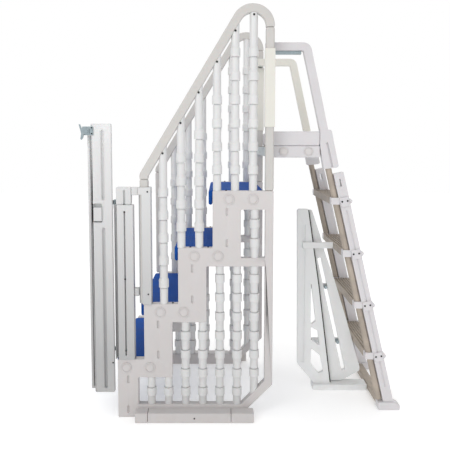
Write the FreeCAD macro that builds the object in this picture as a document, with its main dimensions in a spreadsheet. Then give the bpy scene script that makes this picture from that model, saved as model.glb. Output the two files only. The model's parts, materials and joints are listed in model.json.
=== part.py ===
"""Above-ground pool entry: outside stairs with a side gate, and an in-pool ladder with a barrier.

Millimetres. +Z is up, +X points from the gate towards the pool, Y runs across the treads.
The origin is on the ground under the middle of the whole assembly.
"near" pieces are on the -Y side and "far" pieces on the +Y side.
"""
import math
import os
import re

import FreeCAD
import Part

Vector = FreeCAD.Vector
Y_AXIS = Vector(0, 1, 0)
SIDES = {"near": -1, "far": 1}

SIZES = {
    # stairs
    "half_spacing": 320, "frame_depth": 40, "post_face": 130, "post_width": 38, "first_level": 286,
    "riser": 269, "going": 163, "column_width": 133, "first_column": 98, "band_height": 88,
    "column_edge": -22, "rail_height": 63, "bar_top": 776, "bar_height": 40, "brace_reach": 121,
    "brace_rise": 160, "brace_foot": 40,
    "tread_thick": 25, "nose_drop": 70, "nose_reach": 20, "bar_size": 28, "bar_offset": 56,
    "cap_radius": 25, "cap_thick": 5, "pocket_width": 10, "pocket_height": 36,
    "pocket_depth": 7, "pocket_pitch": 148,
    "foot_width": 60, "foot_height": 48, "foot_left": -522, "foot_right": 40,
    # handrails and balusters
    "tube": 40, "newel_x": -476, "newel_top": 1148, "elbow_z": 1167, "arch_corner": 2137, "arch_radius": 80,
    "grab_x": 110, "grab_top": 1845, "grip_low": 1390, "grip_high": 1748, "grip_size": 46,
    "baluster_radius": 19, "ring_radius": 23.5, "ring_height": 46, "crease": 4,
    "upper_first_ring": 78, "lower_first_ring": 35, "clear_head": 110, "screw_drop": 46, "screw_radius": 5,
    "upper_pitch": 84.3, "upper_first": -387, "upper_ring": 108, "lower_pitch": 82.2, "lower_first": -450,
    "lower_ring": 92,
    # gate
    "overall_length": 1538, "gate_left": -718, "gate_right": -622.5, "gate_low": 127, "gate_high": 1406,
    "gate_front": -345, "gate_back": -300, "shell": 20, "groove_width": 12, "groove_depth": 15,
    "upper_groove": 1051, "upper_groove_top": 1376, "lower_groove": 147, "lower_groove_top": 920,
    "lever_left": -710, "lever_low": 953, "lever_width": 38, "lever_height": 63,
    "lever_thick": 14, "lever_axis": 963,
    "latch_axis_x": -732, "latch_axis_z": 1368, "latch_pin": 3,
    "rear_shift": 22, "top_rail_low": 1072, "low_rail_low": 591, "low_rail_top": 632, "rail_thick": 30,
    "cover_depth": 57, "cover_recess": 16, "recess_depth": 22,
    "hinge_x": -620, "hinge_y": -292, "hinge_low": 314,
    "hinge_high": 1026, "knuckle": 20, "knuckle_radius": 7.5, "hinge_pin": 4,
    "post_left": -617.5, "post_right": -526.5,
    "sleeve_top": 1028, "gate_post_top": 1111, "cover_left": -503, "cover_right": -444,
    # platform and in-pool ladder
    "ladder_half": 245, "rail_depth": 40, "deck_left": 125, "deck_right": 357, "deck_top": 1303,
    "outer_bar": 172, "pool_bar": 290, "curb_top": 1372, "deck_low": 1247, "loop_top": 1769,
    "loop_corner": 289, "loop_width": 38, "loop_bend": 22,
    "loop_foot_x": 376, "loop_foot_z": 1375, "casting_low": 1192, "lean": 13.2, "foot_x": 722,
    "leg_width": 49, "leg_top": 1188, "pipe_offset": 40, "pipe_radius": 15, "pipe_play": 0.4,
    "bore_start": 1130, "bore_length": 215,
    "pipe_length": 1275,
    "step_first": 289, "step_pitch": 255, "step_back": 64, "step_front": 22, "step_thick": 33,
    "rib_count": 6, "rib_pitch": 14, "rib_groove": 6, "clamp_thick": 6, "clamp_height": 46, "ear_radius": 12,
    "pad_depth": 56, "pad_height": 40, "pad_front": 61,
    # barrier
    "panel_thick": 24, "panel_front": -36, "panel_top": 973, "panel_left": 285, "gap": 8,
    "foot_bar": 34, "strap_low": 250, "strap_high": 550, "slot_width": 20, "slot_pin": 8,
}
LEVELS = (1, 2, 3, 4)

doc = FreeCAD.newDocument("pool_ladder")
sheet = doc.addObject("Spreadsheet::Sheet", "Dims")
for row, (alias, value) in enumerate(SIZES.items(), start=1):
    sheet.set(f"A{row}", alias)
    sheet.set(f"B{row}", str(value))
    sheet.setAlias(f"B{row}", alias)
doc.recompute()
NODES = []


# ---------- helpers ----------
def size(alias):
    """The number that the spreadsheet holds under this name."""
    return float(sheet.get(alias))


def formula(text):
    """A formula in spreadsheet names, with each name pointed at the sheet."""
    return re.sub(r"[a-z_]{2,}", lambda word: f"Dims.{word[0]}" if word[0] in SIZES else word[0], str(text))


def bind(item, **properties):
    for name, text in properties.items():
        item.setExpression(name.replace("__", "."), formula(text))


def place(item, x, y, z):
    bind(item, Placement__Base__x=x, Placement__Base__y=y, Placement__Base__z=z)
    return item


def box(x, y, z, length, depth, height):
    """A box from its lowest corner, every value a formula."""
    item = doc.addObject("Part::Box", "Box")
    bind(item, Length=length, Width=depth, Height=height)
    return place(item, x, y, z)


def rod(x, y, z, radius, length, direction):
    """A cylinder that starts at x, y, z and runs along direction."""
    item = doc.addObject("Part::Cylinder", "Rod")
    item.Placement.Rotation = FreeCAD.Rotation(Vector(0, 0, 1), Vector(*direction))
    bind(item, Radius=radius, Height=length)
    return place(item, x, y, z)


def fuse(items):
    item = doc.addObject("Part::MultiFuse", "Fuse")
    item.Shapes = items
    item.Refine = True
    return item


def group(items):
    item = doc.addObject("Part::Compound", "Group")
    item.Links = items
    return item


def cut(base, tools):
    item = doc.addObject("Part::Cut", "Cut")
    item.Base = base
    item.Tool = tools[0] if len(tools) == 1 else fuse(tools)
    return item


def node(label, item):
    """Names a finished sub-part: the label is its file's name too."""
    item.Label = label
    NODES.append(item)
    return item


def both_sides(label, make):
    """One node with the same piece on the near and the far side, as separate solids."""
    return node(label, group([piece for side in SIDES.values() for piece in make(side)]))


def outline(sketch, corners):
    """Draws a closed outline of (x, z, corner radius) points, with an arc at each rounded corner."""
    count = len(corners)
    ends = []
    for i, (x, z, radius) in enumerate(corners):
        here = Vector(x, z, 0)
        before = Vector(*corners[i - 1][:2], 0) - here
        after = Vector(*corners[(i + 1) % count][:2], 0) - here
        if radius <= 0:
            ends.append((here, here))
            continue
        before.normalize()
        after.normalize()
        half_angle = before.getAngle(after) / 2
        back = radius / math.tan(half_angle)
        start = here + before * back
        end = here + after * back
        middle = before + after
        middle.normalize()
        crown = here + middle * (radius / math.sin(half_angle) - radius)
        sketch.addGeometry(Part.Arc(start, crown, end), False)
        ends.append((start, end))
    for i in range(count):
        start = ends[i][1]
        end = ends[(i + 1) % count][0]
        if start.distanceToPoint(end) > 1e-6:
            sketch.addGeometry(Part.LineSegment(start, end), False)


def plate(corners, y_front, depth, windows=()):
    """A flat piece with this outline in XZ, from y_front back by depth, with windows through it."""
    body = doc.addObject("PartDesign::Body", "Plate")
    sketch = body.newObject("Sketcher::SketchObject", "Outline")
    planes = {feature.Role: feature for feature in body.Origin.OriginFeatures}
    sketch.AttachmentSupport = [(planes["XZ_Plane"], "")]
    sketch.MapMode = "FlatFace"
    for loop in (corners, *windows):
        outline(sketch, loop)
    pad = body.newObject("PartDesign::Pad", "Thickness")
    pad.Profile = sketch
    bind(pad, Length=depth)
    bind(body, Placement__Base__y=f"({y_front}) + ({depth})")
    return body


def bent_tube(path, width):
    """The outline of a bent tube that follows path, a list of (x, z, bend radius)."""
    points = [Vector(x, z, 0) for x, z, _ in path]
    runs = [(b - a).normalize() for a, b in zip(points, points[1:])]
    lefts = [Vector(-run.y, run.x, 0) for run in runs]
    sides = []
    for side in (1, -1):
        edge = [points[0] + lefts[0] * side * width / 2]
        radii = [0]
        for i in range(1, len(points) - 1):
            middle = lefts[i - 1] + lefts[i]
            reach = width / middle.Length ** 2
            edge.append(points[i] + middle * side * reach)
            turn = math.copysign(1, runs[i - 1].cross(runs[i]).z)
            radii.append(path[i][2] - side * turn * width / 2)
        edge.append(points[-1] + lefts[-1] * side * width / 2)
        radii.append(0)
        sides.append([(p.x, p.y, r) for p, r in zip(edge, radii)])
    return sides[0] + sides[1][::-1]


def leaning(item, across, y, along):
    """Places a piece in the ladder's own leaning frame, whose origin is at the foot of its rails."""
    item.Placement.Rotation = FreeCAD.Rotation(Y_AXIS, -size("lean"))
    return place(item, f"foot_x + ({across}) * cos(lean) - ({along}) * sin(lean)", y,
                 f"({across}) * sin(lean) + ({along}) * cos(lean)")


def centred(side, half_spacing, depth):
    """The front Y of a piece of this depth, centred on one side's plane."""
    return f"{side} * {half_spacing} - ({depth}) / 2"


def outward(side, face, thickness):
    """The front Y of a thin piece that stands on the outer face of one side."""
    return f"{face} * {side}" if side > 0 else f"-({face}) - ({thickness})"


def level(step):
    return f"(first_level + {step - 1} * riser)"


def column_right(step):
    return f"(column_edge - {4 - step} * going)"


def column_left(step):
    width = "first_column" if step == 1 else "column_width"
    return f"({column_right(step)} - {width})"


def handrail_centre(x):
    """Height of the handrail's centre line over x, on its slope or, near the top, in its arch."""
    slope = (size("arch_corner") - size("elbow_z")) / (size("grab_x") - size("newel_x"))
    arch_centre = size("grab_x") - size("arch_radius")
    if x > arch_centre - size("arch_radius") / 2:
        return size("grab_top") + size("arch_radius") - 12
    return size("elbow_z") + slope * (x - size("newel_x"))


# ---------- stairs ----------
def brace(side):
    """The slanted member that joins the post to the bottom rail."""
    face, reach, width = size("post_face"), size("brace_reach"), size("post_width")
    corners = [(face, size("brace_rise"), 0), (face - width, size("brace_rise") + width / 2, 0),
               (face - reach - width, size("rail_height") - 10, 0), (face - reach - width, 0, 0),
               (face - reach, 0, 0), (face - reach, size("brace_foot"), 12)]
    return plate(corners, centred(side, "half_spacing", "frame_depth"), "frame_depth")


def side_frame(name, side):
    y = centred(side, "half_spacing", "frame_depth")
    pieces = []
    for step in LEVELS:
        right = column_right(step + 1) if step < 4 else "(post_face - post_width / 2)"
        left = column_left(step)
        pieces.append(box(left, y, f"{level(step)} - band_height", f"{right} - {left}", "frame_depth",
                          "band_height"))
        foot = f"({level(step - 1)} - band_height / 2)" if step > 1 else "(rail_height / 2)"
        pieces.append(box(left, y, foot, f"{column_right(step)} - {left}", "frame_depth",
                          f"{level(step)} - band_height / 2 - {foot}"))
    post_left = "(post_face - post_width)"
    pieces.append(box(post_left, y, "brace_rise", "post_width", "frame_depth", f"{level(4)} - brace_rise"))
    pieces.append(box(f"{column_right(4)} - 10", y, "bar_top - bar_height",
                      f"{post_left} - {column_right(4)} + 15", "frame_depth", "bar_height"))
    base_left = column_left(1)
    pieces.append(box(base_left, y, "0", f"post_face - brace_reach - {base_left}", "frame_depth",
                      "rail_height"))
    pieces.append(brace(side))
    solid = fuse(pieces)
    face = outward(side, "half_spacing + frame_depth / 2 - pocket_depth", "pocket_depth")
    pockets = []
    for step in LEVELS:
        middle = f"({column_left(step)} + {column_right(step)}) / 2 - pocket_width / 2"
        for down in (0, 1):
            low = f"{level(step)} - band_height + 8 - pocket_height - {down} * pocket_pitch"
            pockets.append(box(middle, face, low, "pocket_width", "pocket_depth", "pocket_height"))
    node(f"side_frame_{name}", cut(solid, pockets))


def tread_bar_places():
    """X and Z formulas of the two cross bars under each tread."""
    for step in LEVELS:
        for way in (-1, 1):
            yield (f"({column_right(step)} + {way} * bar_offset)",
                   f"({level(step)} - tread_thick - bar_size / 2)")


def stair_treads():
    inner = "(half_spacing - frame_depth / 2)"
    for step in LEVELS:
        reach = "nose_reach / 2" if step == 1 else "nose_reach"
        left = f"({column_left(step)} - {reach})"
        right = f"({column_left(step + 1)} + 8)" if step < 4 else "(post_face - post_width - 4)"
        board = box(left, f"-{inner} + 2", f"{level(step)} - tread_thick", f"{right} - {left}",
                    f"2 * {inner} - 4", "tread_thick")
        nose = box(left, f"-{inner} + 2", f"{level(step)} - nose_drop", "nose_reach - 1",
                   f"2 * {inner} - 4", "nose_drop - tread_thick / 2")
        node(f"stair_tread_{step}", fuse([board, nose]))
    bars = []
    for x, z in tread_bar_places():
        bars.append(box(f"{x} - bar_size / 2", f"-{inner}", f"{z} - bar_size / 2", "bar_size",
                        f"2 * {inner}", "bar_size"))
    node("tread_bars", group(bars))


def bolt_caps(side):
    """Round caps over the ends of the tread bars and of the two platform bars."""
    y = f"{side} * (half_spacing + frame_depth / 2)"
    caps = [rod(x, y, z, "cap_radius", "cap_thick", (0, side, 0)) for x, z in tread_bar_places()]
    y = f"{side} * (ladder_half + rail_depth / 2)"
    caps += [rod(f"{x} + 12", y, "deck_low + 29", "22", "cap_thick", (0, side, 0))
             for x in ("outer_bar", "pool_bar")]
    return caps


def ground_foot(side):
    """The channel that carries one side frame, in three lengths joined end to end."""
    face = "(half_spacing + frame_depth / 2)"
    y = outward(side, face, "foot_width")
    joints = ["foot_left", "foot_left + 60", "foot_right - 108", "foot_right"]
    lengths = []
    for start, end in zip(joints, joints[1:]):
        lengths.append(box(f"{start} + 0.5", y, "0", f"{end} - ({start}) - 1", "foot_width", "foot_height"))
    return lengths


def ringed_baluster(bottom, top, first_ring, pitch, clear_top, upside_down):
    """One turned tube: a plain barrel with flared rings, each ending in a square ledge.

    No ring comes within clear_top of its upper end.
    """
    plain, ring, tall = size("baluster_radius"), size("ring_radius"), size("ring_height")
    crease, flare = size("crease"), size("ring_height") / 5
    edge = [(0, bottom), (plain, bottom)]
    z = first_ring
    while z + tall < top - clear_top:
        if upside_down:
            edge += [(plain, z), (ring, z + flare), (ring, z + tall), (plain - crease, z + tall),
                     (plain - crease, z + tall + crease), (plain, z + tall + crease)]
        else:
            edge += [(plain, z - crease), (plain - crease, z - crease), (plain - crease, z), (ring, z),
                     (ring, z + tall - flare), (plain, z + tall)]
        z += pitch
    edge += [(plain, top), (0, top)]
    wire = Part.makePolygon([Vector(radius, 0, height) for radius, height in edge + edge[:1]])
    return Part.Face(wire).revolve(Vector(0, 0, 0), Vector(0, 0, 1), 360)


def baluster_at(x, y, shape):
    item = doc.addObject("Part::Feature", "Baluster")
    item.Shape = shape
    item.Placement.Base = Vector(x, y, 0)
    return item


def level_height(step):
    return size("first_level") + (step - 1) * size("riser")


def upper_baluster_places():
    """X, bottom and top of each baluster under a handrail."""
    for i, step in enumerate((2, 3, 3, 4, 4, 4)):
        x = size("upper_first") + i * size("upper_pitch")
        yield x, level_height(step), handrail_centre(x)


def upper_balusters(side):
    y = side * size("half_spacing")
    tubes = []
    for x, bottom, top in upper_baluster_places():
        shape = ringed_baluster(bottom, top, bottom + size("upper_first_ring"), size("upper_ring"),
                                size("clear_head"), False)
        tube = baluster_at(x, y, shape)
        tubes.append(cut(tube, [handrail_tube(side)]))
    return tubes


def stair_screws(side):
    """Screws at the head of each upper baluster, beside its foot, and in the ground foot."""
    face = f"{side} * (half_spacing + tube / 2)"
    last_foot = size("column_edge") - size("upper_pitch")
    screws = []
    for x, bottom, top in upper_baluster_places():
        drop = "screw_drop" if x < size("grab_x") - 1.5 * size("arch_radius") else "tube / 2 + 6"
        screws.append(rod(str(x), face, f"{top} - {drop}", "screw_radius", "4", (0, side, 0)))
        if bottom < level_height(4) or x < last_foot:
            screws.append(rod(f"{x} + upper_pitch / 2", f"{side} * half_spacing", str(bottom), "screw_radius",
                              "4", (0, 0, 1)))
    foot = f"{side} * (half_spacing + frame_depth / 2 + foot_width)"
    screws.append(rod("(foot_left + foot_right) / 2", foot, "foot_height / 2", "4", "3", (0, side, 0)))
    if side < 0:
        for z in ("330", "676", "995"):
            screws.append(rod("(post_left + post_right) / 2 + 5", "gate_front", z, "4", "2.5", (0, -1, 0)))
        for z in ("605", "1090"):
            screws.append(rod("cover_right - 14", "-half_spacing - 29", z, "4", "2.5", (0, -1, 0)))
    return screws


def lower_balusters(side):
    """The balusters that hang under each tread level; the last stands on the brace and on the window bar."""
    y = side * size("half_spacing")
    bottom, first, pitch = size("rail_height"), size("lower_first_ring"), size("lower_ring")
    x = size("lower_first")
    tubes = []
    for step in (1, 1, 2, 2, 3, 3):
        top = level_height(step) - size("band_height")
        tubes.append(baluster_at(x, y, ringed_baluster(bottom, top, bottom + first, pitch, 20, True)))
        x += size("lower_pitch")
    bar_top = size("bar_top")
    long_tube = ringed_baluster(bottom + 37, bar_top - size("bar_height"), bottom + first + pitch, pitch,
                                20, True)
    tubes.append(cut(baluster_at(x, y, long_tube), [brace(side)]))
    high_top = level_height(4) - size("band_height")
    tubes.append(baluster_at(x, y, ringed_baluster(bar_top, high_top, bar_top + 45, pitch, 20, True)))
    return tubes


def handrail_tube(side):
    """One bent tube: a short riser at the newel, the slope, and the arch over the top tread."""
    path = [(size("newel_x"), size("newel_top"), 0), (size("newel_x"), size("elbow_z"), 25),
            (size("grab_x"), size("arch_corner"), size("arch_radius")), (size("grab_x"), size("grab_top"), 0)]
    return plate(bent_tube(path, size("tube")), centred(side, "half_spacing", "tube"), "tube")


def newel(side):
    y = centred(side, "half_spacing", "tube")
    return [box("newel_x - tube / 2", y, level(2), "tube", "tube", f"newel_top - {level(2)}")]


def grab_post(side):
    y = centred(side, "half_spacing", "tube")
    return [box("grab_x - tube / 2", y, level(4), "tube", "tube", f"grab_top - {level(4)}")]


def grip_sleeve(side):
    outer = box("grab_x - grip_size / 2", centred(side, "half_spacing", "grip_size"), "grip_low",
                "grip_size", "grip_size", "grip_high - grip_low")
    hole = box("grab_x - tube / 2", centred(side, "half_spacing", "tube"), "grip_low - 5", "tube", "tube",
               "grip_high - grip_low + 10")
    return [cut(outer, [hole])]


# ---------- gate ----------
def gate_leaf():
    front = box("gate_left", "gate_front", "gate_low", "gate_right - gate_left", "shell",
                "gate_high - gate_low")
    middle = "(gate_left + gate_right) / 2 - 1"
    grooves = [box(middle, "gate_front", low, "groove_width", "groove_depth", f"{top} - {low}")
               for low, top in (("upper_groove", "upper_groove_top"), ("lower_groove", "lower_groove_top"))]
    recess = box("lever_left - 2", "gate_front", "lever_low - 7", "lever_width + 4", "lever_thick + 3",
                 "lever_height + 25")
    node("gate_front_shell", cut(front, [*grooves, recess]))
    rear = box("gate_left - rear_shift", "gate_back - shell", "gate_low + 8", "gate_right - gate_left",
               "shell", "gate_high - gate_low - 52")
    core = box("gate_left + 8", "gate_front + shell", "gate_low + 20", "gate_right - gate_left - 34",
               "gate_back - gate_front - 2 * shell", "gate_high - gate_low - 80")
    channel = box("gate_left - 9", "gate_back - shell", "gate_low + 20", "9.5", "groove_depth",
                  "gate_high - gate_low - 76")
    node("gate_rear_shell", cut(fuse([rear, core]), [channel]))
    screws = [rod("gate_right - 7", "gate_front", "hinge_low - 42", "4", "2", (0, -1, 0))]
    screws += [rod("gate_left + 7", "gate_front - 7", f"latch_axis_z + {rise}", "3.5", "2.5", (0, -1, 0))
               for rise in (-9, 18)]
    node("gate_leaf_screws", group(screws))


def latch_lever():
    """The pull lever in its recess, and the pin that it turns on."""
    axis_y = "gate_front + 5"
    paddle = box("lever_left", "gate_front - 3", "lever_low", "lever_width", "lever_thick", "lever_height")
    bore = rod("lever_left - 5", axis_y, "lever_axis", "latch_pin + 0.4", "lever_width + 10", (1, 0, 0))
    node("latch_lever", cut(paddle, [bore]))
    return rod("lever_left - 2", axis_y, "lever_axis", "latch_pin", "lever_width + 4", (1, 0, 0))


def gravity_latch():
    """The latch housing, the fork that lifts to let the leaf go, and the pin that it turns on."""
    housing = box("gate_left - 36", "gate_front - 7", "latch_axis_z - 16", "35.5", "28", "40")
    strap = box("gate_left - 27", "gate_front - 7", "latch_axis_z - 16", "40", "6.5", "40")
    node("latch_bracket", fuse([housing, strap]))
    tip, axis_z = -size("overall_length") / 2, size("latch_axis_z")
    corners = [(tip, axis_z + 34, 1), (tip + 7, axis_z + 34, 1), (tip + 14, axis_z + 16, 3),
               (tip + 47, axis_z + 14, 3), (tip + 47, axis_z - 10, 3), (tip + 25, axis_z - 10, 2),
               (tip + 19, axis_z - 30, 2), (tip + 12, axis_z - 38, 2), (tip + 7, axis_z - 34, 2),
               (tip + 11, axis_z - 8, 3), (tip + 6, axis_z + 12, 0)]
    bore = rod("latch_axis_x", "gate_front - 20", "latch_axis_z", "latch_pin + 0.4", "20", (0, 1, 0))
    node("latch_fork", cut(plate(corners, "gate_front - 13", "5"), [bore]))
    pin = rod("latch_axis_x", "gate_front - 16.5", "latch_axis_z", "latch_pin", "9.5", (0, 1, 0))
    head = rod("latch_axis_x", "gate_front - 17", "latch_axis_z", "2 * latch_pin", "3", (0, 1, 0))
    return fuse([pin, head])


def hinge_half(way, low, bore, tall):
    """Half a hinge, a bored knuckle and its leaf, that reaches to the post (1) or to the gate (-1)."""
    barrel = rod("hinge_x", "hinge_y", low, "knuckle_radius", tall, (0, 0, 1))
    leaf = box("hinge_x + 3" if way > 0 else "hinge_x - 37", "gate_back", low, "34", "3", tall)
    web = box("hinge_x" if way > 0 else "hinge_x - 8", "gate_back + 0.5", low, "8", "4", tall)
    hole = rod("hinge_x", "hinge_y", f"{low} - 5", bore, f"{tall} + 10", (0, 0, 1))
    return cut(fuse([barrel, leaf, web]), [hole])


def gate_hinges():
    fixed, moving, pins = [], [], []
    for z in ("hinge_low", "hinge_high"):
        fixed.append(hinge_half(1, f"({z} - knuckle)", "hinge_pin", "knuckle"))
        moving.append(hinge_half(-1, f"({z} + 0.5)", "hinge_pin + 0.4", "knuckle"))
        pins.append(rod("hinge_x", "hinge_y", f"{z} - knuckle", "hinge_pin", "2 * knuckle + 3", (0, 0, 1)))
    node("hinge_leaves_fixed", group(fixed))
    node("hinge_leaves_gate", group(moving))
    node("hinge_pins", group(pins))


def gate_post():
    """The leaf's hanging post: a sleeve over an inner post, tied by two rails to a cover on the newel."""
    tall = f"sleeve_top - {level(1)}"
    flange = box("post_left", "gate_front + 4", level(1), "3", "gate_back - gate_front - 4", tall)
    web = box("post_left", "gate_front + 26", level(1), "20", "gate_back - gate_front - 26", tall)
    main = box("post_left + 15", "gate_front", level(1), "post_right - post_left - 15",
               "gate_back - gate_front", tall)
    groove = box("(post_left + post_right) / 2 + 2", "gate_front", f"{level(1)} + 20", "6", "16",
                 f"{tall} - 50")
    node("gate_post_sleeve", cut(fuse([flange, web, main]), [groove]))
    post = box("post_left + 11", "gate_front + 5", "sleeve_top", "post_right - post_left - 21",
               "gate_back - gate_front - 5", "gate_post_top - sleeve_top")
    upper_groove = box("(post_left + post_right) / 2", "gate_front + 5", "sleeve_top", "9", "12",
                       "gate_post_top - sleeve_top - 14")
    node("gate_post_inner", cut(post, [upper_groove]))
    outer = box("cover_left", "-half_spacing - 29", level(2), "cover_right - cover_left", "cover_depth",
                f"gate_post_top - {level(2)}")
    hole = box("newel_x - tube / 2", "-half_spacing - tube / 2", f"{level(2)} - 5", "tube", "tube", "800")
    edge = box("cover_left - 1", "-half_spacing - 30", f"{level(2)} - 5", "cover_recess + 1", "recess_depth",
               "gate_post_top - 585")
    node("newel_cover", cut(outer, [hole, edge]))
    top_rail = box("post_right - 10", "gate_front + 8", "top_rail_low", "cover_left - post_right + 10",
                   "rail_thick", "gate_post_top - top_rail_low")
    low_rail = box("post_right", "gate_front + 8", "low_rail_low", "cover_left - post_right", "rail_thick",
                   "low_rail_top - low_rail_low")
    node("gate_rails", group([top_rail, low_rail]))


# ---------- platform ----------
def platform():
    inner = "(ladder_half - rail_depth / 2)"
    span = "(deck_right - deck_left)"
    board = box("deck_left", f"-{inner}", "deck_top - 25", span, f"2 * {inner}", "25")
    node("platform_deck", board)
    beam_left = "(post_face - post_width + 3)"
    node("platform_beam", box(beam_left, "-half_spacing + frame_depth / 2", "deck_low + 5",
                              f"deck_left - {beam_left}", "2 * half_spacing - frame_depth", "45"))
    bars = [box(f"{x} - bar_size / 2", f"-{inner}", "deck_top - 53", "bar_size", f"2 * {inner}", "bar_size")
            for x in ("outer_bar", "pool_bar")]
    node("platform_bars", group(bars))


def platform_side(side):
    y = centred(side, "ladder_half", "rail_depth")
    return [box("deck_left", y, "deck_low", "deck_right - deck_left", "rail_depth", "deck_top - deck_low")]


def platform_curb(side):
    y = centred(side, "ladder_half", "rail_depth")
    return [box("deck_left", y, "deck_top", "deck_right - deck_left", "rail_depth", "curb_top - deck_top")]


# ---------- fixed top of the in-pool ladder ----------
def casting_block(side):
    low, left = size("casting_low"), size("deck_right")
    corners = [(left, 1386, 8), (left, 1302, 0), (left + 19, low, 6), (left + 92, low + 8, 10),
               (left + 54, 1378, 10)]
    return plate(corners, centred(side, "ladder_half", "rail_depth"), "rail_depth")


def rail_casting(side):
    """The socket at the platform's edge that a round back rail slides in."""
    bore = rod("0", "0", "0", "pipe_radius + pipe_play", "bore_length", (0, 0, 1))
    leaning(bore, "-pipe_offset", f"{side} * ladder_half", "bore_start")
    groove = box("0", "0", "0", "9", "8", "120")
    leaning(groove, "-pipe_offset + 13", outward(side, "ladder_half + rail_depth / 2 - 8", 8), "1240")
    return [cut(casting_block(side), [bore, groove])]


def ladder_handrail(side):
    path = [(95, size("loop_top"), 0), (size("loop_corner"), size("loop_top"), size("loop_bend")),
            (size("loop_foot_x"), size("loop_foot_z"), 0)]
    tube = plate(bent_tube(path, size("loop_width")), centred(side, "ladder_half", "rail_depth"),
                 "rail_depth")
    return cut(tube, [casting_block(side)])


def steel_strip():
    """The metal strip under the near handrail's level run."""
    y = centred(SIDES["near"], "ladder_half", "20")
    node("steel_strip", box("post_face + 8", y, "loop_top - loop_width / 2 - 16", "126", "20", "16"))


def rail_link(side):
    """The block that ties a ladder handrail to the stair's upright beside it."""
    depth = "(half_spacing - frame_depth / 2 - ladder_half - rail_depth / 2)"
    y = outward(side, "ladder_half + rail_depth / 2", depth)
    return [box("95", y, "loop_top - loop_width / 2", "30", depth, "loop_width")]


# ---------- in-pool ladder ----------
def step_top(k):
    return f"(step_first + {k} * step_pitch)"


def leg_x(z):
    return f"(foot_x - ({z}) * tan(lean))"


def front_rail(side):
    y = centred(side, "ladder_half", "rail_depth")
    leg = box("0", "0", "0", "leg_width", "rail_depth", "leg_top / cos(lean) - 45")
    leaning(leg, "-leg_width / 2", y, "30")
    keyhole = box("0", "0", "0", "9", "60", "38")
    leaning(keyhole, "-6", f"{side} * ladder_half - 30", "leg_top / cos(lean) - 82")
    groove = box("0", "0", "0", "6", "4", "900")
    leaning(groove, "-3", outward(side, "ladder_half + rail_depth / 2 - 4", 4), "120")
    foot_clip = box("foot_x - 150", f"{side} * ladder_half - 60", "-60", "300", "120", "100")
    return cut(leg, [keyhole, groove, foot_clip])


def back_pipe(side):
    pipe = rod("0", "0", "0", "pipe_radius", "pipe_length", (0, 0, 1))
    return leaning(pipe, "-pipe_offset", f"{side} * ladder_half", "60")


def back_rail(side):
    return [back_pipe(side)]


def foot_pad(side):
    left, right, top = size("foot_x") - size("pad_front"), size("overall_length") / 2, size("pad_height")
    corners = [(left, 0, 0), (right, 0, 0), (right, top - 14, 10), (right - 28, top, 12), (left, top, 0)]
    return [plate(corners, centred(side, "ladder_half", "pad_depth"), "pad_depth")]


def tread_end_caps(side):
    """White caps that close each ladder step behind the rail and hold the round back rail."""
    y = centred(side, "ladder_half", "rail_depth")
    caps = []
    for k in range(4):
        middle = f"({step_top(k)} - step_thick / 2)"
        cap = box(f"{leg_x(middle)} - step_back", y, f"{step_top(k)} - step_thick", "step_back - 24",
                  "rail_depth", "step_thick")
        rail = leaning(box("0", "0", "0", "leg_width", "60", "1300"), "-leg_width / 2",
                       f"{side} * ladder_half - 30", "0")
        caps.append(cut(cap, [back_pipe(side), rail]))
        ear = rod(f"{leg_x(middle)} + leg_width / 2 + 1", y, middle, "ear_radius", "rail_depth", (0, 1, 0))
        caps.append(cut(ear, [rail]))
    return caps


def clamp_block(side):
    blocks = []
    for k in range(4):
        along = f"(({step_top(k)} - step_thick / 2) / cos(lean) - 26)"
        y = outward(side, "ladder_half + rail_depth / 2", "clamp_thick")
        block = box("0", "0", "0", "leg_width - 6", "clamp_thick", "clamp_height")
        blocks.append(leaning(block, "-leg_width / 2 + 3", y, along))
    return blocks


def clamp_screws(side):
    screws = []
    for k in range(4):
        middle = f"({step_top(k)} - step_thick / 2)"
        for way in (-1, 1):
            y = f"{side} * (ladder_half + rail_depth / 2 + clamp_thick)"
            screws.append(rod(f"{leg_x(middle)} + {way} * 13", y, f"{middle} + {way} * 2", "4.5", "3",
                              (0, side, 0)))
    return screws


def ladder_steps():
    inner = "(ladder_half - rail_depth / 2)"
    for k in range(4):
        top = step_top(k)
        left = f"({leg_x(f'{top} - step_thick / 2')} - step_back)"
        step = box(left, f"-{inner}", f"{top} - step_thick", "step_back + step_front", f"2 * {inner}",
                   "step_thick")
        ribs = []
        for rib in range(int(size("rib_count"))):
            ribs.append(box(f"{left} + 8 + {rib} * rib_pitch", f"-{inner} - 1", f"{top} - rib_groove",
                            "rib_groove", f"2 * {inner} + 2", "rib_groove + 2"))
        node(f"ladder_step_{k + 1}", cut(step, ribs))
    node("base_bar", box("foot_x - 56", f"-{inner} + 8", "6", "44", f"2 * {inner} - 16", "34"))


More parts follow.
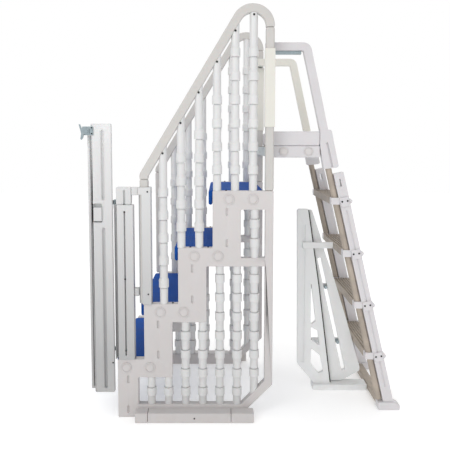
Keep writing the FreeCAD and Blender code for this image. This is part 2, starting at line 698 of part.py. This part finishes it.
# ---------- barrier ----------
def barrier():
    front, thick = "panel_front", "panel_thick"
    top, left, base = size("panel_top"), size("panel_left"), size("foot_bar")
    gap = size("gap")
    seam = [(342, top - 8), (401, 564), (469, base)]
    first = [(left, top, 12), (seam[0][0], top, 4), *[(*corner, 0) for corner in seam], (382, base, 10),
             (left + 9, 140, 14)]
    windows = [
        [(361, 606, 2), (363, 352, 4), (389, 372, 4)],
        [(364, 342, 4), (402, 318, 5), (412, 238, 5), (365, 272, 4)],
        [(366, 226, 5), (418, 182, 6), (434, 99, 6), (408, 85, 8), (366, 140, 8)],
    ]
    panel = plate(first, front, thick, windows)
    groove = box("panel_left + 30", f"{front}", "150", "14", "5", "740")
    node("barrier_panel_fixed", cut(panel, [groove]))
    offset = [(x + gap, z) for x, z in seam]
    second = [(*offset[0], 0), (366, top - 8, 6), (408, 839, 60), (436, 742, 60), (490, 592, 80),
              (559, 371, 80), (634, 112, 18), (634, 92, 14), (540, base + 5, 14),
              (offset[2][0], base + 5, 6), (*offset[1], 0)]
    slot_top, slot_low = (407.5, 709), (547.5, 95)
    lean = math.radians(size("lean"))
    half = size("slot_width") / 2
    wide = Vector(math.cos(lean) * half, math.sin(lean) * half, 0)
    slot = [(end[0] + way * wide.x, end[1] + way * wide.y, 6)
            for end, way in ((slot_top, -1), (slot_top, 1), (slot_low, 1), (slot_low, -1))]
    node("barrier_panel_sliding", plate(second, "panel_front + panel_thick + 2", thick, [slot]))
    seal = [(seam[0][0], seam[0][1], 0), (*seam[1], 0), (*seam[2], 0), (seam[2][0] + gap - 1, base, 0),
            (seam[1][0] + gap - 1, seam[1][1], 0), (seam[0][0] + gap - 1, seam[0][1], 0)]
    node("barrier_seal", plate(seal, "panel_front + 10", "panel_thick - 10"))
    node("barrier_foot_bar", box("374", "panel_front - 20", "0", "292", "80", "foot_bar"))
    bar_z = "(step_first + 2 * step_pitch - step_thick)"
    reach = f"({leg_x(f'{bar_z} + step_thick / 2')} - step_back)"
    node("barrier_bracket", box("314", "panel_front - 9", bar_z, f"{reach} - 314", "9", "step_thick"))
    straps, pins = [], []
    slot_run = (slot_low[0] - slot_top[0]) / (slot_top[1] - slot_low[1])
    rear = "(panel_front + 2 * panel_thick + 4)"
    for alias in ("strap_low", "strap_high"):
        x = slot_top[0] + (slot_top[1] - size(alias)) * slot_run
        strap = box("panel_left + 15", rear, f"{alias} - 15", f"{x + 25} - panel_left - 15", "6", "30")
        spacer = box("panel_left + 15", "panel_front + panel_thick", f"{alias} - 15", "24",
                     "panel_thick + 6", "30")
        straps.append(fuse([strap, spacer]))
        pins.append(rod(str(x), "panel_front + panel_thick - 6", alias, "slot_pin", "panel_thick + 10",
                        (0, 1, 0)))
    node("guide_straps", group(straps))
    node("guide_pins", group(pins))


for side_name, side_sign in SIDES.items():
    side_frame(side_name, side_sign)
    node(f"handrail_{side_name}", handrail_tube(side_sign))
    node(f"ladder_handrail_{side_name}", ladder_handrail(side_sign))
    node(f"front_rail_{side_name}", front_rail(side_sign))
for label, maker in {
    "upper_balusters": upper_balusters, "lower_balusters": lower_balusters, "bolt_caps": bolt_caps,
    "stair_screws": stair_screws, "ground_feet": ground_foot, "newels": newel, "grab_posts": grab_post,
    "grip_sleeves": grip_sleeve, "platform_sides": platform_side, "platform_curbs": platform_curb,
    "rail_castings": rail_casting, "rail_links": rail_link, "back_rails": back_rail,
    "foot_pads": foot_pad, "tread_end_caps": tread_end_caps, "clamp_blocks": clamp_block,
    "clamp_screws": clamp_screws,
}.items():
    both_sides(label, maker)
stair_treads()
gate_leaf()
node("latch_pins", group([latch_lever(), gravity_latch()]))
gate_hinges()
gate_post()
platform()
steel_strip()
ladder_steps()
barrier()
doc.recompute()

for item in doc.Objects:
    if any(word in item.State for word in ("Invalid", "Error")):
        raise RuntimeError(f"{item.Label} is {item.State}")

os.makedirs("parts", exist_ok=True)
for item in NODES:
    if not item.Shape.isValid() or not item.Shape.Solids:
        raise RuntimeError(f"{item.Label} has no valid solid")
    item.Shape.exportStep(f"parts/{item.Label}.step")
print(f"{len(NODES)} parts written")
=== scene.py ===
"""Looks for the pool ladder: rounded resin mouldings, turned balusters, ribbed steps, zinc and screws."""

import json
import math

import bmesh
import bpy
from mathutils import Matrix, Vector


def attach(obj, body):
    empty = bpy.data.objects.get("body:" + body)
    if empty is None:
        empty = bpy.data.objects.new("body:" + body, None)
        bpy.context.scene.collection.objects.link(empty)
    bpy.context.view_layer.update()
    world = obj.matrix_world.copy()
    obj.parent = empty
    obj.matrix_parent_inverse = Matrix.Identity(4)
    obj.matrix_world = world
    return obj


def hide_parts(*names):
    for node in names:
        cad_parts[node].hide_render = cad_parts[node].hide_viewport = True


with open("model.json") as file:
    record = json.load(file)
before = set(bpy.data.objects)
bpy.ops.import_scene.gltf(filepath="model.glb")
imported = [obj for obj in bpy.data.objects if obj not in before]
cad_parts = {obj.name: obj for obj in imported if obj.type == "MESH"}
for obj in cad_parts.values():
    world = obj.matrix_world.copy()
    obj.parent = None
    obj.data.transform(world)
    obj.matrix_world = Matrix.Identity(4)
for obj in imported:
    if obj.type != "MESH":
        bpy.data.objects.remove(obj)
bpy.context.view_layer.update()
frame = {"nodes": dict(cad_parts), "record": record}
NODES = frame["nodes"]
BODY = {node: body for body, names in frame["record"]["behaviour"]["bodies"].items() for node in names}
SLOT = {entry["node"]: entry["material_slot"] for entry in frame["record"]["subparts"]}

# Noise mostly lies between these two values.
NOISE_LOW, NOISE_HIGH = 0.3, 0.7
DUST = (0.42, 0.38, 0.33)
# Painted shade darkens the resin towards the ground between the first two heights, and dust gathers below
# the last one. Metres above the ground.
PAINTED_SHADE_FROM, PAINTED_SHADE_TO, DUST_TO = 0.3, 1.4, 0.35
GRAIN_DEPTH = 0.00012
PIP_PITCH = 0.011
RIB_PITCH = 0.02
SPANGLE = 0.006

WELD = 1e-6
BEVEL_SEGMENTS = 3
FLAT_ANGLE = 0.4
BEVEL_ANGLE = 32
SHARP_ANGLE = 30
TURNED_SHARP_ANGLE = 50
LATHE_TURNS = 32
UPRIGHT_RATIO = 0.9

FLOOR_HALF = 12
FLOOR_DROP = 0.0005
FLOOR_TONES = ((0.92, 0.92, 0.92), (0.94, 0.94, 0.94))
FLOOR_GLOW = 0.27
LIGHT_AIM = (0, 0, 0.9)
# Name, place, width and power of each light.
LIGHTS = (("key", (-2.6, -3.6, 3.6), 2.2, 40), ("fill", (3.4, -3.0, 1.8), 3.0, 6),
          ("top", (0.2, 0.6, 4.4), 3.0, 12))
# The white surround darkens between these two, measured sideways from straight ahead, to this strength.
FLAG_FROM, FLAG_TO, FLAG_STRENGTH = 0.42, 0.85, 0.35

SENSOR_WIDTH, LENS = 36, 43.7
LENS_SHIFT = (0.0133, -0.0823)
CAMERA_PLACE = (-0.125, -2.876, 1.307)
CAMERA_DIP = 4.5


# ---------- materials ----------
class Shader:
    """Builds one node material a step at a time."""

    def __init__(self, name):
        self.material = bpy.data.materials.new(name)
        self.material.use_nodes = True
        self.tree = self.material.node_tree
        self.surface = self.tree.nodes["Principled BSDF"]
        self.place = self.tree.nodes.new("ShaderNodeTexCoord").outputs["Object"]

    def add(self, kind, **inputs):
        item = self.tree.nodes.new(kind)
        for socket, value in inputs.items():
            self.plug(item.inputs[socket.replace("_", " ")], value)
        return item

    def plug(self, socket, value):
        if isinstance(value, bpy.types.NodeSocket):
            self.tree.links.new(value, socket)
        else:
            socket.default_value = value

    def stretched(self, scale):
        mapping = self.add("ShaderNodeMapping", Vector=self.place)
        mapping.inputs["Scale"].default_value = scale
        return mapping.outputs["Vector"]

    def noise(self, size, detail=4.0, rough=0.55, stretch=(1, 1, 1)):
        """Cloudy noise whose patches are about this many metres across."""
        item = self.add("ShaderNodeTexNoise", Vector=self.stretched(stretch), Scale=1 / size, Detail=detail,
                        Roughness=rough)
        return item.outputs["Fac"]

    def spread(self, value, low, high, to_low, to_high):
        item = self.add("ShaderNodeMapRange", Value=value, From_Min=low, From_Max=high, To_Min=to_low,
                        To_Max=to_high)
        return item.outputs["Result"]

    def clouds(self, size, detail, rough=0.55, low=0, high=1):
        """Noise spread over its whole range, from low to high."""
        return self.spread(self.noise(size, detail, rough), NOISE_LOW, NOISE_HIGH, low, high)

    def mix(self, amount, first, second):
        item = self.tree.nodes.new("ShaderNodeMix")
        item.data_type = "RGBA"
        self.plug(item.inputs[0], amount)
        for socket, value in ((item.inputs[6], first), (item.inputs[7], second)):
            self.plug(socket, (*value, 1) if isinstance(value, tuple) and len(value) == 3 else value)
        return item.outputs[2]

    def bump(self, height, depth, strength=1.0, under=None):
        item = self.add("ShaderNodeBump", Height=height, Distance=depth, Strength=strength)
        if under is not None:
            self.tree.links.new(under, item.inputs["Normal"])
        return item.outputs["Normal"]

    def finish(self, **inputs):
        for socket, value in inputs.items():
            self.plug(self.surface.inputs[socket.replace("_", " ")], value)
        return self.material


def darker(color, amount):
    return tuple(part * amount for part in color)


def moulded_resin(name, color, gloss=0.42, grain=0.0012, low_shade=0.0):
    """Moulded resin: mottled, with a pebble grain and soft waves, dusty low down, and darker towards the
    ground with painted shade.
    """
    shader = Shader(name)
    base = shader.mix(shader.clouds(0.16, 5), darker(color, 0.965), color)
    height = shader.add("ShaderNodeSeparateXYZ", Vector=shader.place).outputs["Z"]
    # Painted shade: the colour darkens towards the ground, as strongly as the function's last argument asks.
    base = shader.mix(shader.spread(height, PAINTED_SHADE_FROM, PAINTED_SHADE_TO, low_shade, 0), base, darker(color, 0.4))
    low = shader.spread(height, 0.0, DUST_TO, 0.16, 0.0)
    grime = shader.add("ShaderNodeMath")
    grime.operation = "MULTIPLY"
    shader.plug(grime.inputs[0], low)
    shader.plug(grime.inputs[1], shader.spread(shader.noise(0.05, 6, 0.65), 0.35, 0.75, 0, 1))
    base = shader.mix(grime.outputs[0], base, DUST)
    streak = shader.spread(shader.noise(0.03, 4, 0.6, (1, 1, 0.12)), 0.55, 0.85, 0.0, 0.10)
    base = shader.mix(streak, base, darker(color, 0.8))
    waves = shader.bump(shader.noise(0.06, 2, 0.4), 0.0007)
    pebble = shader.bump(shader.noise(grain, 3, 0.6), GRAIN_DEPTH, 0.8, waves)
    roughness = shader.clouds(0.02, 4, low=gloss - 0.06, high=gloss + 0.08)
    return shader.finish(Base_Color=base, Roughness=roughness, Normal=pebble, Specular_IOR_Level=0.45,
                         Subsurface_Weight=0.04, Subsurface_Scale=0.006)


def grip_tread(name, color):
    """Blue step resin with rows of raised anti-slip pips on a finer grain."""
    shader = Shader(name)
    mottle = shader.clouds(0.09, 5)
    base = shader.mix(mottle, darker(color, 0.78), color)
    scuff = shader.spread(shader.noise(0.018, 8, 0.7, (1, 0.3, 1)), 0.62, 0.80, 0.0, 0.35)
    base = shader.mix(scuff, base, tuple(min(1, part * 1.8 + 0.03) for part in color))
    pips = shader.add("ShaderNodeTexVoronoi", Vector=shader.place, Scale=1 / PIP_PITCH, Randomness=0.0)
    raised = shader.spread(pips.outputs["Distance"], 0.22, 0.36, 1, 0)
    grain = shader.bump(shader.noise(0.0014, 3), 0.0002)
    return shader.finish(Base_Color=base, Roughness=shader.spread(mottle, 0, 1, 0.62, 0.74),
                         Normal=shader.bump(raised, 0.0009, 0.9, grain), Specular_IOR_Level=0.12)


def ribbed_taupe(name, color):
    """Brown-grey step resin with fine lengthwise ribs and pale wear on them."""
    shader = Shader(name)
    mottle = shader.clouds(0.07, 6, 0.6)
    base = shader.mix(mottle, darker(color, 0.82), tuple(part * 1.12 for part in color))
    wear = shader.spread(shader.noise(0.012, 8, 0.7, (1, 0.15, 1)), 0.6, 0.82, 0, 0.4)
    base = shader.mix(wear, base, tuple(part * 1.6 for part in color))
    ribs = shader.add("ShaderNodeTexWave", Vector=shader.place, Scale=1 / RIB_PITCH, Distortion=0.0)
    grain = shader.bump(shader.noise(0.001, 3), 0.00018)
    return shader.finish(Base_Color=base, Roughness=shader.spread(mottle, 0, 1, 0.5, 0.66),
                         Normal=shader.bump(ribs.outputs["Fac"], 0.0008, 0.7, grain))


def zinc(name, color):
    """Zinc plate: bluish spangle, drawn lines and a little dulling."""
    shader = Shader(name)
    spangle = shader.add("ShaderNodeTexVoronoi", Vector=shader.place, Scale=1 / SPANGLE)
    shade = shader.add("ShaderNodeSeparateColor", Color=spangle.outputs["Color"]).outputs["Red"]
    base = shader.mix(shader.spread(shade, 0, 1, 0, 0.5), color, darker(color, 0.72))
    dull = shader.spread(shader.noise(0.02, 6, 0.7), 0.5, 0.8, 0, 0.5)
    base = shader.mix(dull, base, (0.33, 0.34, 0.33))
    lines = shader.noise(0.002, 2, 0.5, (1, 1, 0.04))
    return shader.finish(Base_Color=base, Metallic=0.9, Roughness=shader.spread(dull, 0, 0.5, 0.28, 0.5),
                         Normal=shader.bump(lines, 0.00006))


def black_part(name, color, metallic, gloss):
    """Black oxide or rubber: near black with greyer rubbed patches."""
    shader = Shader(name)
    rubbed = shader.spread(shader.noise(0.004, 6, 0.7), 0.5, 0.8, 0, 0.5)
    base = shader.mix(rubbed, color, tuple(part + 0.06 for part in color))
    return shader.finish(Base_Color=base, Metallic=metallic,
                         Roughness=shader.spread(rubbed, 0, 0.5, gloss, gloss + 0.2),
                         Normal=shader.bump(shader.noise(0.0008, 3), 0.00005))


MATERIALS = {
    # Frame, baluster and gate resin get painted shade that darkens them towards the ground, the gate most.
    "frame_plastic": moulded_resin("frame_resin", (0.665, 0.635, 0.63), low_shade=0.24),
    "rail_plastic": moulded_resin("rail_resin", (0.60, 0.582, 0.56), gloss=0.36),
    "sleeve_plastic": moulded_resin("sleeve_resin", (0.76, 0.745, 0.685), gloss=0.38),
    "baluster_plastic": moulded_resin("baluster_resin", (0.75, 0.75, 0.75), gloss=0.34, low_shade=0.2),
    "gate_plastic": moulded_resin("gate_resin", (0.78, 0.78, 0.782), gloss=0.4, low_shade=0.75),
    "ladder_plastic": moulded_resin("ladder_resin", (0.67, 0.652, 0.668), gloss=0.36),
    "barrier_plastic": moulded_resin("barrier_resin", (0.82, 0.83, 0.832), gloss=0.45, grain=0.002),
    "tread_blue": grip_tread("tread_resin", (0.010, 0.092, 0.42)),
    "step_taupe": ribbed_taupe("step_resin", (0.43, 0.37, 0.31)),
    "steel": zinc("zinc_plate", (0.36, 0.43, 0.46)),
    "black_rubber": black_part("rubber_black", (0.012, 0.012, 0.012), 0.0, 0.6),
    "screw_black": black_part("oxide_black", (0.03, 0.03, 0.032), 0.7, 0.35),
}


# ---------- mesh helpers ----------
def paint(piece, slot):
    piece.data.materials.clear()
    piece.data.materials.append(MATERIALS[slot])
    return piece


def mount_piece(piece, node):
    """Lets a piece stand in for a CAD node: same body, same slot of materials."""
    paint(piece, SLOT[node])
    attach(piece, BODY[node])
    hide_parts(node)
    return piece


def new_piece(name, shape):
    mesh = bpy.data.meshes.new(name)
    shape.to_mesh(mesh)
    shape.free()
    piece = bpy.data.objects.new(name, mesh)
    bpy.context.scene.collection.objects.link(piece)
    return piece


def bake_modifiers(piece):
    """Replaces a piece's mesh by what its modifiers make of it."""
    graph = bpy.context.evaluated_depsgraph_get()
    mesh = bpy.data.meshes.new_from_object(piece.evaluated_get(graph))
    piece.modifiers.clear()
    piece.data = mesh
    return piece


def smooth(piece, angle):
    piece.data.shade_smooth()
    piece.data.set_sharp_from_angle(angle=math.radians(angle))
    return piece


def cad_shape(node):
    """A CAD node's mesh with its loose corners welded together."""
    shape = bmesh.new()
    shape.from_mesh(NODES[node].data)
    bmesh.ops.remove_doubles(shape, verts=shape.verts, dist=WELD)
    return shape


def rounded_copy(node, width):
    """A moulded version of a CAD node: its sharp edges become radii of this width."""
    shape = cad_shape(node)
    if node not in WINDOWED:
        bmesh.ops.dissolve_limit(shape, angle_limit=math.radians(FLAT_ANGLE), verts=shape.verts,
                                 edges=shape.edges)
    piece = new_piece(f"{node}_moulded", shape)
    bevel = piece.modifiers.new("edges", "BEVEL")
    bevel.width = width
    bevel.segments = BEVEL_SEGMENTS
    bevel.limit_method = "ANGLE"
    bevel.angle_limit = math.radians(BEVEL_ANGLE)
    bevel.use_clamp_overlap = True
    bevel.miter_outer = "MITER_ARC"
    bevel.harden_normals = True
    return bake_modifiers(smooth(piece, SHARP_ANGLE))


# The radius of each moulding's edges, in metres.
EDGE_RADIUS = {
    "side_frame_near": 0.006, "side_frame_far": 0.006, "handrail_near": 0.009, "handrail_far": 0.009,
    "newels": 0.009, "grab_posts": 0.009, "grip_sleeves": 0.010, "ground_feet": 0.005,
    "upper_balusters": 0.0008, "lower_balusters": 0.0008, "stair_tread_1": 0.011, "stair_tread_2": 0.011,
    "stair_tread_3": 0.011, "stair_tread_4": 0.011, "gate_front_shell": 0.006, "gate_rear_shell": 0.004,
    "gate_post_sleeve": 0.004, "gate_post_inner": 0.006, "gate_rails": 0.006, "newel_cover": 0.006,
    "latch_lever": 0.005, "latch_bracket": 0.002, "latch_fork": 0.0015, "platform_deck": 0.004,
    "platform_sides": 0.006, "platform_curbs": 0.009, "platform_beam": 0.004, "rail_castings": 0.006,
    "ladder_handrail_near": 0.009, "ladder_handrail_far": 0.009, "rail_links": 0.004, "steel_strip": 0.002,
    "front_rail_near": 0.007, "front_rail_far": 0.007, "foot_pads": 0.006, "tread_end_caps": 0.004,
    "clamp_blocks": 0.0025, "ladder_step_1": 0.0022, "ladder_step_2": 0.0022, "ladder_step_3": 0.0022,
    "ladder_step_4": 0.0022, "base_bar": 0.006, "barrier_panel_fixed": 0.004, "barrier_panel_sliding": 0.004,
    "barrier_foot_bar": 0.008, "barrier_bracket": 0.003, "guide_straps": 0.0015, "hinge_leaves_fixed": 0.001,
    "hinge_leaves_gate": 0.001, "tread_bars": 0.003, "platform_bars": 0.003, "back_rails": 0.002,
}
# Flat mouldings with windows or pockets keep their own triangles, which round off more cleanly.
WINDOWED = ("side_frame_near", "side_frame_far", "gate_front_shell", "gate_rear_shell", "gate_post_sleeve",
            "gate_post_inner", "newel_cover", "barrier_panel_fixed", "barrier_panel_sliding")
TURNED = ("bolt_caps", "stair_screws", "clamp_screws", "gate_leaf_screws")


def mouldings():
    for node, width in EDGE_RADIUS.items():
        mount_piece(rounded_copy(node, width), node)


def carried_nodes():
    """Small CAD nodes whose shape is already right keep it and get their material."""
    for node, obj in NODES.items():
        if node not in EDGE_RADIUS and node not in TURNED:
            paint(obj, SLOT[node])


# ---------- turned parts ----------
def islands(node):
    """The lowest and highest corner of each separate solid in a CAD node."""
    shape = cad_shape(node)
    left = set(shape.verts)
    found = []
    while left:
        queue = [left.pop()]
        members = []
        while queue:
            vert = queue.pop()
            members.append(vert.co.copy())
            for edge in vert.link_edges:
                other = edge.other_vert(vert)
                if other in left:
                    left.remove(other)
                    queue.append(other)
        found.append((Vector(min(co[i] for co in members) for i in range(3)),
                      Vector(max(co[i] for co in members) for i in range(3))))
    shape.free()
    return found


def lathe(shape, profile, seat, axis):
    """Spins a profile of (radius, height) about an axis that starts at seat."""
    turn = Vector((0, 0, 1)).rotation_difference(axis)
    rings = []
    for radius, height in profile:
        ring = []
        for i in range(LATHE_TURNS):
            angle = 2 * math.pi * i / LATHE_TURNS
            point = Vector((radius * math.cos(angle), radius * math.sin(angle), height))
            ring.append(shape.verts.new(seat + turn @ point))
        rings.append(ring)
    for low, high in zip(rings, rings[1:]):
        for i in range(LATHE_TURNS):
            j = (i + 1) % LATHE_TURNS
            shape.faces.new((low[i], low[j], high[j], high[i]))
    shape.faces.new(rings[0])
    shape.faces.new(rings[-1])


# Outlines of the heads as (radius, height), each as a share of the whole.
CAP_PROFILE = [(1, 0), (1, 0.55), (0.97, 0.8), (0.90, 0.9), (0.80, 0.9), (0.775, 0.5), (0.74, 0.5),
               (0.71, 0.85), (0.5, 0.96), (0.2, 1)]
SCREW_PROFILE = [(1, 0), (1, 0.25), (0.93, 0.55), (0.78, 0.82), (0.55, 0.97), (0.42, 1), (0.36, 0.55),
                 (0.1, 0.45)]


def turned_heads(node, profile):
    """Round heads in place of a node's plain discs, each facing away from the part it sits on."""
    shape = bmesh.new()
    for low, high in islands(node):
        size = high - low
        upright = size.z < UPRIGHT_RATIO * size.x
        if upright:
            axis = Vector((0, 0, 1))
            seat = Vector(((low.x + high.x) / 2, (low.y + high.y) / 2, low.z))
        else:
            facing = -1 if low.y + high.y < 0 else 1
            axis = Vector((0, facing, 0))
            seat = Vector(((low.x + high.x) / 2, low.y if facing > 0 else high.y, (low.z + high.z) / 2))
        radius, tall = size.x / 2, size.z if upright else size.y
        lathe(shape, [(radius * wide, tall * high_part) for wide, high_part in profile], seat, axis)
    bmesh.ops.recalc_face_normals(shape, faces=shape.faces)
    mount_piece(smooth(new_piece(f"{node}_turned", shape), TURNED_SHARP_ANGLE), node)


# ---------- stage ----------
def floor():
    shape = bmesh.new()
    bmesh.ops.create_grid(shape, x_segments=8, y_segments=8, size=FLOOR_HALF)
    piece = new_piece("studio_floor", shape)
    shader = Shader("floor_pale")
    tone = shader.mix(shader.clouds(0.8, 3), *FLOOR_TONES)
    piece.data.materials.append(shader.finish(Base_Color=tone, Roughness=0.9, Emission_Color=(1, 1, 1, 1),
                                              Emission_Strength=FLOOR_GLOW))
    piece.location.z = -FLOOR_DROP


def area_light(name, place, width, power):
    data = bpy.data.lights.new(name, "AREA")
    data.shape = "DISK"
    data.size = width
    data.energy = power
    light = bpy.data.objects.new(name, data)
    light.location = place
    light.rotation_euler = (Vector(LIGHT_AIM) - Vector(place)).to_track_quat("-Z", "Y").to_euler()
    bpy.context.scene.collection.objects.link(light)


def studio():
    """Soft lights and a white surround that is darker to the left and right, which shades upright edges."""
    floor()
    for light in LIGHTS:
        area_light(*light)
    world = bpy.data.worlds.new("studio")
    world.use_nodes = True
    tree = world.node_tree
    way = tree.nodes.new("ShaderNodeSeparateXYZ")
    tree.links.new(tree.nodes.new("ShaderNodeTexCoord").outputs["Generated"], way.inputs["Vector"])
    aside = tree.nodes.new("ShaderNodeMath")
    aside.operation = "ABSOLUTE"
    tree.links.new(way.outputs["X"], aside.inputs[0])
    flag = tree.nodes.new("ShaderNodeMapRange")
    for socket, value in (("From Min", FLAG_FROM), ("From Max", FLAG_TO), ("To Min", 1.0),
                          ("To Max", FLAG_STRENGTH)):
        flag.inputs[socket].default_value = value
    tree.links.new(aside.outputs["Value"], flag.inputs["Value"])
    tree.links.new(flag.outputs["Result"], tree.nodes["Background"].inputs["Strength"])
    tree.nodes["Background"].inputs["Color"].default_value = (1.0, 1.0, 1.0, 1)
    bpy.context.scene.world = world
    bpy.context.scene.view_settings.view_transform = "Standard"


def camera():
    """A longish lens on the -Y side, level with the middle of the handrails and tipped down a little."""
    data = bpy.data.cameras.new("camera")
    data.sensor_width = SENSOR_WIDTH
    data.lens = LENS
    data.shift_x, data.shift_y = LENS_SHIFT
    item = bpy.data.objects.new("camera", data)
    item.location = CAMERA_PLACE
    item.rotation_euler = (math.radians(90 - CAMERA_DIP), 0, 0)
    bpy.context.scene.collection.objects.link(item)
    bpy.context.scene.camera = item


mouldings()
carried_nodes()
turned_heads("bolt_caps", CAP_PROFILE)
for screws in ("stair_screws", "clamp_screws", "gate_leaf_screws"):
    turned_heads(screws, SCREW_PROFILE)
studio()
camera()
bpy.context.view_layer.update()
